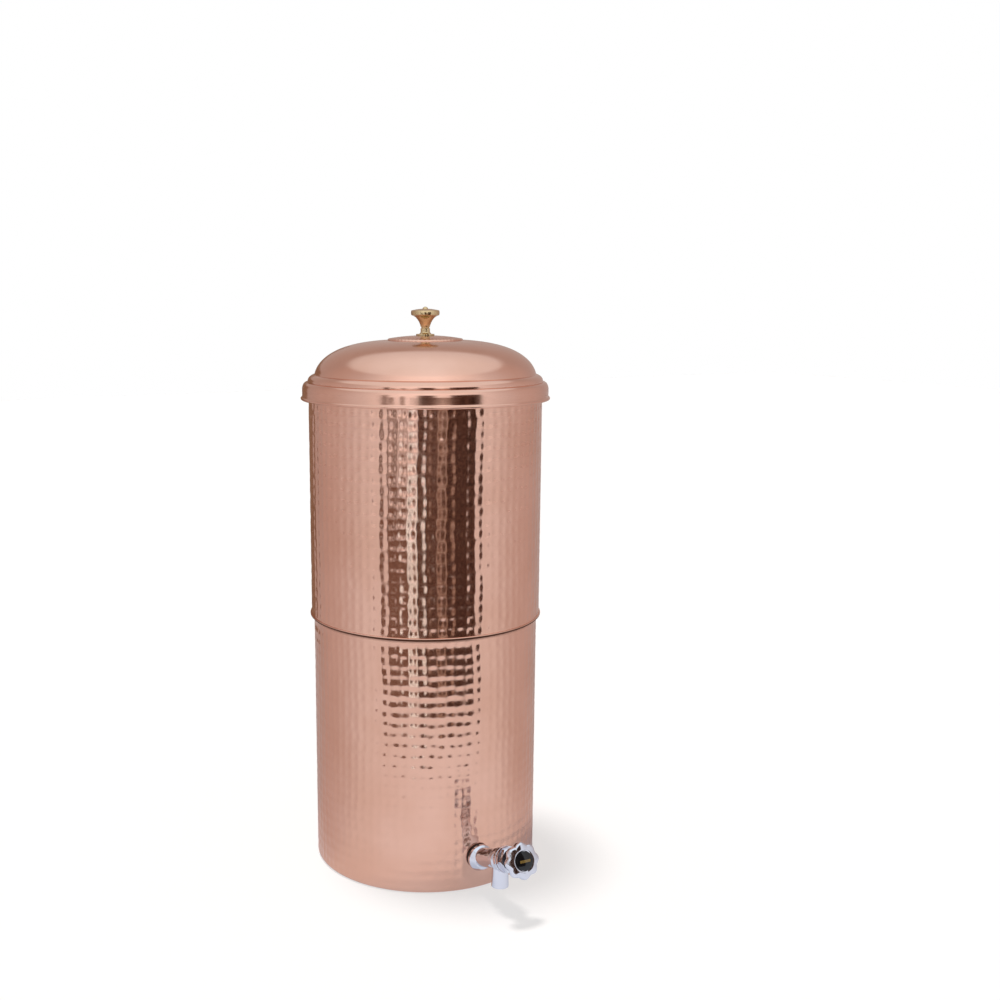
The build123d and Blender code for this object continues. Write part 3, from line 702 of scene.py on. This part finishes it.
class COPPER_OT_tanks(bpy.types.Operator):
    """Hammer the lower and the upper tank"""

    bl_idname = "copper_filter.tanks"
    bl_label = "Hammered tanks"

    def execute(self, context):
        copper = hammered_copper()
        chance = random.Random(TANK_SEED)
        lower = lower_tank_shape(chance)
        add_piece("hammered_lower_tank", lower, copper, "base_tank", "hammered_copper", "lower_tank")
        upper = upper_tank_shape(chance)
        add_piece("hammered_upper_tank", upper, copper, "top_tank", "hammered_copper", "upper_tank")
        finish_nodes(copper, "lower_tank", "upper_tank")
        return {"FINISHED"}


# Lid, plate and knob

PLATE_SEED = 11


def band_radius(lid):
    """Radius of the lid's upright band."""
    return lid_high.x - lid.bead_inset - 2 * lid.bead + lid.sheet


def dome_section(lid):
    """Middle of the lid's moulding, and the reach, the base and the first turn of its dome."""
    middle = band_radius(lid) - lid.step_width - lid.moulding
    widest = lid_low.z + lid.band_depth + lid.moulding_start
    foot = middle + lid.moulding * math.cos(lid.moulding_end)
    base = widest + lid.moulding_height * math.sin(lid.moulding_end) - lid.dome_drop
    start = math.asin(lid.dome_drop / lid.dome_rise)
    return (middle, widest), foot / math.cos(start) ** lid.dome_fullness, base, start


def dome_turn(lid, reach, radius):
    """Turn at which the dome's curve has come in to a radius."""
    return math.acos((radius / reach) ** (1 / lid.dome_fullness))


def domed(lid, reach, base, rise, start, end, steps=36):
    """Points along the dome's curve between two turns."""
    turns = evenly(start, end, steps)
    return [(reach * math.cos(turn) ** lid.dome_fullness, base + rise * math.sin(turn)) for turn in turns]


def lid_shape():
    """Spun lid: a beaded band, a step, a round moulding and a dome, lowered under the knob's plate."""
    lid = sizes("lid")
    moulding, reach, base, dome_start = dome_section(lid)
    dome_end = dome_turn(lid, reach, lid.plate - 2 * lid.plate_round)
    seat = (0, lid_high.z - lid.seat_round)
    band = band_radius(lid)
    bead = (lid_high.x - lid.bead, lid_low.z + lid.bead)
    step = lid_low.z + lid.band_depth
    corner = (band - lid.corner, step - lid.corner_height)
    bead_apart = band + lid.bead_hollow - bead[0]
    bead_above = math.sqrt((lid.bead + lid.bead_hollow) ** 2 - bead_apart**2)
    bead_end = math.degrees(math.atan2(bead_above, bead_apart))
    bead_hollow = (band + lid.bead_hollow, bead[1] + bead_above)
    moulding_low = -math.degrees(math.asin(lid.moulding_start / lid.moulding_height))
    moulding_high = math.degrees(lid.moulding_end)
    seat_turn = math.degrees(math.acos(lid.seat / lid.seat_round))
    hole_turn = math.degrees(math.acos(lid.screw_hole / lid.seat_round))

    corner_points = arc(corner, lid.corner, 0, 90, steps=12)
    moulding_points = arc(moulding, lid.moulding, moulding_low, moulding_high, steps=18)
    outside = [(band - lid.sheet, bead[1])]
    outside += arc(bead, lid.bead, 180, 360 + bead_end, steps=16)
    outside += arc(bead_hollow, lid.bead_hollow, 180 + bead_end, 180, steps=6)[1:]
    outside += squashed(corner_points, corner[1], lid.corner_height / lid.corner)
    outside += squashed(moulding_points, moulding[1], lid.moulding_height / lid.moulding)
    outside += domed(lid, reach, base, lid.dome_rise, dome_start, dome_end)[1:]
    outside += arc(seat, lid.seat_round, seat_turn, hole_turn, steps=6)

    inner_moulding = lid.moulding - lid.sheet
    inner_squash = (lid.moulding_height - lid.sheet) / inner_moulding
    inner_points = arc(moulding, inner_moulding, moulding_high, 0, steps=10)
    inside = arc(seat, lid.seat_round - lid.sheet, hole_turn, seat_turn, steps=6)
    inside += domed(lid, reach - lid.sheet, base, lid.dome_rise - lid.sheet, dome_end, dome_start)
    inside += squashed(inner_points, moulding[1], inner_squash)
    inside += [(moulding[0] + inner_moulding, step - lid.sheet)]
    inside += arc((band - lid.corner, step - lid.corner), lid.corner - lid.sheet, 90, 0, steps=6)
    return turned(outside + inside, lid.turning_steps, closed=True)


def plate_shape(chance):
    """Domed plate under the knob, with small hammer marks round its edge."""
    lid = sizes("lid")
    radius = lid.plate
    reach, base = dome_section(lid)[1:3]
    rim = base + lid.dome_rise * math.sin(dome_turn(lid, reach, radius))
    lip = (radius - lid.plate_round, rim)
    rise = plate_high.z - rim
    dome = (lip[0] ** 2 + rise**2 - lid.plate_round**2) / (2 * (rise - lid.plate_round))
    dome_middle = (0, plate_high.z - dome)
    lip_end = math.degrees(math.atan2(rim - dome_middle[1], lip[0]))
    inner_start = math.degrees(math.acos((radius - lid.sheet) / (dome - lid.sheet)))
    hole_end = math.degrees(math.acos(lid.screw_hole / dome))
    outside = arc(lip, lid.plate_round, 0, lip_end, steps=10)
    outside += arc(dome_middle, dome, lip_end, hole_end, steps=40)[1:]
    inside = arc(dome_middle, dome - lid.sheet, hole_end, inner_start, steps=20)
    inside += [(radius - lid.sheet, rim)]
    shape = turned(outside + inside, lid.turning_steps, closed=True)
    grid = MarkedGrid(rows=4, columns=in_eights(math.tau * radius / lid.plate_mark), chance=chance)
    shape.normal_update()
    presses = {}
    for vert in shape.verts:
        across = vert.co.xy.length
        climb = (radius - across + vert.co.z - rim) / lid.plate_mark
        outer = vert.normal.dot(Vector((vert.co.x, vert.co.y, across))) > 0
        if outer and 0 < climb < grid.rows:
            presses[vert] = lid.plate_mark_depth * grid.depth(vert.co, climb) * vert.normal
    for vert, press in presses.items():
        vert.co -= press
    return shape


class COPPER_OT_lid(bpy.types.Operator):
    """Spin the lid and its plate, and finish the upper tank's floor"""

    bl_idname = "copper_filter.lid"
    bl_label = "Spun lid"

    def execute(self, context):
        copper = spun_copper()
        add_piece("spun_lid", lid_shape(), copper, "lid_set", "spun_copper", "lid")
        plate = plate_shape(random.Random(PLATE_SEED))
        add_piece("domed_plate", plate, copper, "lid_set", "spun_copper", "knob_plate")
        finish_nodes(copper, "lid", "knob_plate", "upper_floor")
        return {"FINISHED"}


class COPPER_OT_knob(bpy.types.Operator):
    """Finish the brass knob, and the steel screws and washers"""

    bl_idname = "copper_filter.knob"
    bl_label = "Brass knob"

    def execute(self, context):
        finish_nodes(turned_brass(), "knob")
        steel = plain_metal("screw steel", sizes("finishes").steel, roughness=0.28, grain=0.004 * MM)
        finish_nodes(steel, "knob_screw", "knob_washer", "tap_backing_washer", "wheel_screw")
        return {"FINISHED"}


# Tap and candles


def place_at_tap(shape, lean):
    """Moves a shape that was turned about the tanks' axis to the tap flange's back, leaning over."""
    tap = sizes("tap")
    place = Matrix.Translation((0, -tap.reach, tap.height)) @ Matrix.Rotation(lean, 4, "X")
    bmesh.ops.transform(shape, matrix=place, verts=shape.verts)


def wheel_shape():
    """Hand wheel with rounded lobes round a well for its cap, along the valve's axis."""
    tap = sizes("tap")
    disc = tap.wheel_start + tap.wheel_hub_length
    face = disc + tap.wheel_thickness
    tip = tap.wheel_tip
    well_floor = face - tap.wheel_well_depth
    hub_round = 0.6 * MM
    hub_fillet = 0.8 * MM
    edge_round = 3.4 * MM
    face_fall = 1.2 * MM
    lip_width = 1.6 * MM
    lip_round = 2.0 * MM
    lip_fall = 0.4 * MM
    well_round = 0.3 * MM
    outline = rounded(
        [
            (tap.wheel_bore, tap.wheel_start, 0),
            (tap.wheel_hub, tap.wheel_start, hub_round),
            (tap.wheel_hub, disc, hub_fillet),
            (tip, disc, edge_round),
            (tip, face - face_fall, edge_round),
            (tap.wheel_well + lip_width, face, lip_round),
            (tap.wheel_well, face - lip_fall, well_round),
            (tap.wheel_well, well_floor, 0),
            (tap.wheel_bore, well_floor, 0),
        ],
        steps=6,
    )
    steps_to_a_lobe = 24
    shape = turned(outline, steps_to_a_lobe * tap.wheel_lobes, closed=True)
    round_rim = 0.8 * MM
    lobe_fullness = 0.8
    fixed = tap.wheel_well + round_rim
    for vert in shape.verts:
        across = vert.co.xy.length
        if across <= fixed:
            continue
        lobe = (1 + math.cos(tap.wheel_lobes * math.atan2(vert.co.y, vert.co.x))) / 2
        reach = tap.wheel_notch + (tip - tap.wheel_notch) * lobe**lobe_fullness
        vert.co.xy *= (fixed + (across - fixed) * (reach - fixed) / (tip - fixed)) / across
    place_at_tap(shape, math.pi / 2 - tap.rise)
    bmesh.ops.recalc_face_normals(shape, faces=shape.faces)
    return shape


def gasket_shape():
    """Soft ring between the tap's flange and the tank's round wall."""
    tap = sizes("tap")
    wall = lower_high.x - sizes("tanks").hem_width
    thickness = 4 * MM
    edge_round = 0.4 * MM
    outline = rounded(
        [
            (tap.hole, thickness, 0),
            (tap.gasket, thickness, 0),
            (tap.gasket, 0, edge_round),
            (tap.hole, 0, 0),
        ]
    )
    shape = turned(outline, steps=96, closed=True)
    place_at_tap(shape, -math.pi / 2)
    for vert in shape.verts:
        vert.co.y = min(vert.co.y, -math.sqrt(wall**2 - vert.co.x**2))
    bmesh.ops.recalc_face_normals(shape, faces=shape.faces)
    return shape


class COPPER_OT_tap(bpy.types.Operator):
    """Turn the tap's hand wheel and the flange's gasket, and finish the tap and its valve"""

    bl_idname = "copper_filter.tap"
    bl_label = "Tap"

    def execute(self, context):
        finishes = sizes("finishes")
        chrome = plain_metal("bright chrome", finishes.chrome, roughness=0.06, grain=0.001 * MM)
        finish_nodes(chrome, "tap_body", "tap_bonnet", "tap_wheel")
        add_piece("lobed_wheel", wheel_shape(), chrome, "hand_wheel", "tap_chrome", "tap_wheel")
        brass = plain_metal("machined brass", finishes.plain_brass, roughness=0.25, grain=0.004 * MM)
        finish_nodes(brass, "tap_spindle", "valve_jumper", "valve_nut", "tap_lock_nut")
        rubber = moulded("black rubber", finishes.rubber, roughness=0.6, grain=0.006 * MM)
        finish_nodes(rubber, "tap_outer_gasket", "tap_inner_gasket", "valve_washer", "spindle_seal")
        add_piece("flange_gasket", gasket_shape(), rubber, "base_tank", "black_rubber", "tap_outer_gasket")
        fibre = moulded("red fibre", finishes.fibre, roughness=0.8, grain=0.01 * MM)
        finish_nodes(fibre, "tap_bonnet_washer")
        black = moulded("black plastic", finishes.black_plastic, roughness=0.15, grain=0.002 * MM)
        finish_nodes(black, "tap_gland")
        finish_nodes(barred_cap(), "wheel_cap")
        return {"FINISHED"}


class COPPER_OT_candles(bpy.types.Operator):
    """Finish the ceramic candles with their bases, gaskets and wing nuts"""

    bl_idname = "copper_filter.candles"
    bl_label = "Candles"

    def execute(self, context):
        finishes = sizes("finishes")
        ceramic = moulded("fired ceramic", finishes.ceramic, roughness=0.75, grain=0.02 * MM)
        plastic = moulded("white plastic", finishes.white_plastic, roughness=0.4, grain=0.004 * MM)
        silicone = moulded("pale silicone", finishes.silicone, roughness=0.5, grain=0.004 * MM)
        for candle in (1, 2):
            finish_nodes(ceramic, f"candle_ceramic_{candle}")
            finish_nodes(plastic, f"candle_base_{candle}", f"wing_nut_{candle}")
            finish_nodes(silicone, f"candle_gasket_{candle}")
        return {"FINISHED"}


# Stage

# Place from the room's back to its bright side, and what mirrors show there of the floor and the room
MIRRORED_TONES = (
    (0.0, (0.05, 0.0, 0.0), (0.50, 0.41, 0.375)),
    (0.14, (0.05, 0.005, 0.007), (0.50, 0.43, 0.417)),
    (0.30, (0.136, 0.08, 0.085), (0.585, 0.505, 0.495)),
    (0.46, (0.180, 0.15, 0.17), (0.629, 0.575, 0.58)),
    (0.61, (0.248, 0.262, 0.31), (0.697, 0.687, 0.72)),
    (0.73, (0.350, 0.395, 0.455), (0.799, 0.82, 0.865)),
    (1.0, (0.461, 0.54, 0.64), (1.25, 1.32, 1.40)),
)
# How far the overhead tone takes the place of the room's, by the height of a direction
OVERHEAD_SHARES = (
    (0.64, (0, 0, 0)),
    (0.70, (0.62, 0.62, 0.62)),
    (1.0, (1, 1, 1)),
)
# Darkest and lightest tone of cards that are alike
BRIGHT = ((1.2, 1.55, 1.75), (1.5, 1.95, 2.15))
THIN_DARK = ((0.12, 0.08, 0.06), (0.25, 0.18, 0.15))
TALL_DARK = ((0.14, 0.085, 0.065), (0.34, 0.27, 0.24))
# Name, first and last angle to the camera's right in degrees, lower and upper edge in metres, tones
MIRRORED_CARDS = (
    ("darkest card", 21.0, 47.5, 0, 0.72, (0.03, 0.014, 0.009), (0.14, 0.09, 0.075)),
    ("right middle card", 15.5, 21.0, 0, 0.49, (0.175, 0.115, 0.088), (0.45, 0.37, 0.33)),
    ("pale line", 12.5, 15.5, 0, 0.49, (0.30, 0.25, 0.23), (0.58, 0.55, 0.53)),
    ("left middle card", 8.0, 12.5, 0, 0.49, (0.10, 0.06, 0.045), (0.28, 0.215, 0.185)),
    ("dark card", -6.0, 8.0, 0, 0.72, (0.055, 0.027, 0.018), (0.20, 0.14, 0.12)),
    ("right bright card", -8.0, -6.0, 0, 0.34, *BRIGHT),
    ("thin dark line", -9.0, -8.0, 0, 0.5, *THIN_DARK),
    ("middle bright card", -10.8, -9.0, 0, 0.34, *BRIGHT),
    ("second dark line", -11.6, -10.8, 0, 0.5, *THIN_DARK),
    ("left bright card", -14.0, -11.6, 0, 0.34, *BRIGHT),
    ("brown card", -37.0, -14.0, 0, 0.25, (0.17, 0.105, 0.08), (0.28, 0.20, 0.17)),
    ("first tall line", -20.5, -17.0, 0.25, 0.6, *TALL_DARK),
    ("second tall line", -30.0, -26.0, 0.25, 0.5, *TALL_DARK),
    ("third tall line", -36.5, -31.5, 0.25, 0.72, (0.10, 0.06, 0.045), (0.24, 0.17, 0.15)),
    ("back card", -168.0, -132.0, 0.06, 0.62, (0.24, 0.14, 0.09), (0.30, 0.19, 0.13)),
)


def place_camera(stage):
    """Camera at the photograph's viewing angle."""
    camera = bpy.data.cameras.new("camera")
    camera.lens = stage.lens
    camera.shift_x = stage.shift_across
    camera.shift_y = stage.shift_up
    camera.clip_start = 0.01
    viewer = bpy.data.objects.new("camera", camera)
    viewer.location = (
        stage.camera_distance * math.sin(stage.camera_turn),
        -stage.camera_distance * math.cos(stage.camera_turn),
        stage.camera_height,
    )
    viewer.rotation_euler = (math.pi / 2 - stage.camera_tilt, 0, stage.camera_turn)
    bpy.context.scene.collection.objects.link(viewer)
    bpy.context.scene.camera = viewer


def facing(tree, direction):
    """How far a direction points to the room's bright side: one towards it, nothing away from it."""
    stage = sizes("stage")
    turn = stage.camera_turn + stage.room_turn
    bright_side = (math.sin(turn), -math.cos(turn), 0)
    level = add_node(tree, "VectorMath", {0: flattened(tree, direction)}, operation="NORMALIZE")["Vector"]
    towards = add_node(tree, "VectorMath", {0: level, 1: bright_side}, operation="DOT_PRODUCT")["Value"]
    return mapped(tree, towards, -1.0, 1.0)


def seen_directly(tree, path):
    """One for what the camera sees, also through clear pieces."""
    return number(tree, "MAXIMUM", path["Is Camera Ray"], path["Is Transmission Ray"])


def glow(tree, tone, strength=1.0):
    """Light of a tone that a surface gives by itself."""
    return add_node(tree, "Emission", {"Color": tone, "Strength": strength})["Emission"]


def together(tree, first, second):
    """Two shaders added up."""
    return add_node(tree, "AddShader", {0: first, 1: second})["Shader"]


def lay_floor(stage):
    """Pale floor that keeps the filter's shadow."""
    material, tree = new_material("pale floor")
    tree.nodes.clear()
    lit = add_node(tree, "BsdfDiffuse", {"Color": (*stage.floor_colour, 1)})["BSDF"]
    path = add_node(tree, "LightPath", {})
    seen = glow(tree, WHITE, number(tree, "MULTIPLY", seen_directly(tree, path), stage.floor_glow))
    tones = [(place, floor_tone) for place, floor_tone, room_tone in MIRRORED_TONES]
    mirrored = glow(tree, ramp_of(tree, facing(tree, coordinates(tree)), *tones), path["Is Glossy Ray"])
    look = together(tree, lit, together(tree, seen, mirrored))
    add_node(tree, "OutputMaterial", {"Surface": look})
    shape = bmesh.new()
    bmesh.ops.create_grid(shape, x_segments=1, y_segments=1, size=stage.floor_size / 2)
    floor = new_object("floor", shape, material)


def stand_card(name, start, end, low, high, darkest, lightest):
    """Upright mottled card that only mirrors show, between two angles to the camera's right."""
    stage = sizes("stage")
    material, tree = new_material(name)
    tree.nodes.clear()
    mottle = noise(tree, scale=22.0, detail=1.0)
    look = glow(tree, blend_colours(tree, mottle, darkest, lightest, start=0.42, end=0.60))
    add_node(tree, "OutputMaterial", {"Surface": look})
    shape = bmesh.new()
    first = stage.camera_turn + math.radians(start)
    foot = shape.verts.new((stage.card_reach * math.sin(first), -stage.card_reach * math.cos(first), low))
    top = shape.verts.new((foot.co.x, foot.co.y, high))
    edge = shape.edges.new((foot, top))
    spin(shape, [foot, top, edge], math.radians(end - start), steps=12)
    card = new_object(name, shape, material)
    for ray in ("camera", "diffuse", "shadow", "transmission"):
        setattr(card, "visible_" + ray, False)


def light_world(stage):
    """White surroundings to the camera; mirrored, they darken to the back and brighten overhead."""
    world = bpy.data.worlds.new("studio")
    bpy.context.scene.world = world
    world.use_nodes = True
    tree = world.node_tree
    tree.nodes.clear()
    direction = coordinates(tree, "Generated")
    path = add_node(tree, "LightPath", {})
    tones = [(place, room_tone) for place, floor_tone, room_tone in MIRRORED_TONES]
    around = ramp_of(tree, facing(tree, direction), *tones)
    height = add_node(tree, "SeparateXYZ", {"Vector": direction})["Z"]
    climb = ramp_of(tree, height, *OVERHEAD_SHARES)
    mirrored = blend(tree, climb, around, (*stage.overhead, 1))
    even = (stage.room_light, stage.room_light, stage.room_light, 1)
    room = blend(tree, path["Is Glossy Ray"], even, mirrored)
    shown = blend(tree, seen_directly(tree, path), room, WHITE)
    look = add_node(tree, "Background", {"Color": shown})["Background"]
    add_node(tree, "OutputWorld", {"Surface": look})


def hang_lamp(stage):
    """Soft light from overhead, a little from the left and behind, that mirrors don't show."""
    lamp = bpy.data.lights.new("overhead light", "SUN")
    lamp.angle = stage.lamp_spread
    lamp.energy = stage.lamp_strength
    hung = bpy.data.objects.new("overhead light", lamp)
    hung.rotation_euler = (-stage.lamp_back, -stage.lamp_lean, stage.camera_turn)
    hung.location.z = stage.lamp_height
    hung.visible_glossy = False
    bpy.context.scene.collection.objects.link(hung)


class COPPER_OT_stage(bpy.types.Operator):
    """Set the camera, the floor, the light and the mirrored cards"""

    bl_idname = "copper_filter.stage"
    bl_label = "Stage"

    def execute(self, context):
        stage = sizes("stage")
        place_camera(stage)
        lay_floor(stage)
        for card in MIRRORED_CARDS:
            stand_card(*card)
        light_world(stage)
        hang_lamp(stage)
        context.scene.view_settings.view_transform = "Standard"
        return {"FINISHED"}


# Panel and registration

PIECE_OPERATORS = (
    COPPER_OT_tanks,
    COPPER_OT_lid,
    COPPER_OT_knob,
    COPPER_OT_tap,
    COPPER_OT_candles,
    COPPER_OT_stage,
)


class COPPER_PT_pieces(bpy.types.Panel):
    """Lists the pieces of the filter"""

    bl_idname = "COPPER_PT_pieces"
    bl_label = "Copper filter"
    bl_space_type = "VIEW_3D"
    bl_region_type = "UI"
    bl_category = "Copper filter"

    def draw(self, context):
        for operator in PIECE_OPERATORS:
            self.layout.operator(operator.bl_idname)


PROPERTY_GROUPS = {
    "copper_tanks": TankSizes,
    "copper_marks": HammerMarks,
    "copper_tap": TapSizes,
    "copper_lid": LidSizes,
    "copper_finishes": Finishes,
    "copper_stage": StageSizes,
}
CLASSES = (*PROPERTY_GROUPS.values(), *PIECE_OPERATORS, COPPER_PT_pieces)


def register():
    for kind in CLASSES:
        bpy.utils.register_class(kind)
    for name, group in PROPERTY_GROUPS.items():
        setattr(bpy.types.Scene, name, bpy.props.PointerProperty(type=group))


def unregister():
    for name in PROPERTY_GROUPS:
        delattr(bpy.types.Scene, name)
    for kind in reversed(CLASSES):
        bpy.utils.unregister_class(kind)


def main():
    register()
    bpy.ops.copper_filter.tanks()
    bpy.ops.copper_filter.lid()
    bpy.ops.copper_filter.knob()
    bpy.ops.copper_filter.tap()
    bpy.ops.copper_filter.candles()
    bpy.ops.copper_filter.stage()


if __name__ == "__main__":
    main()
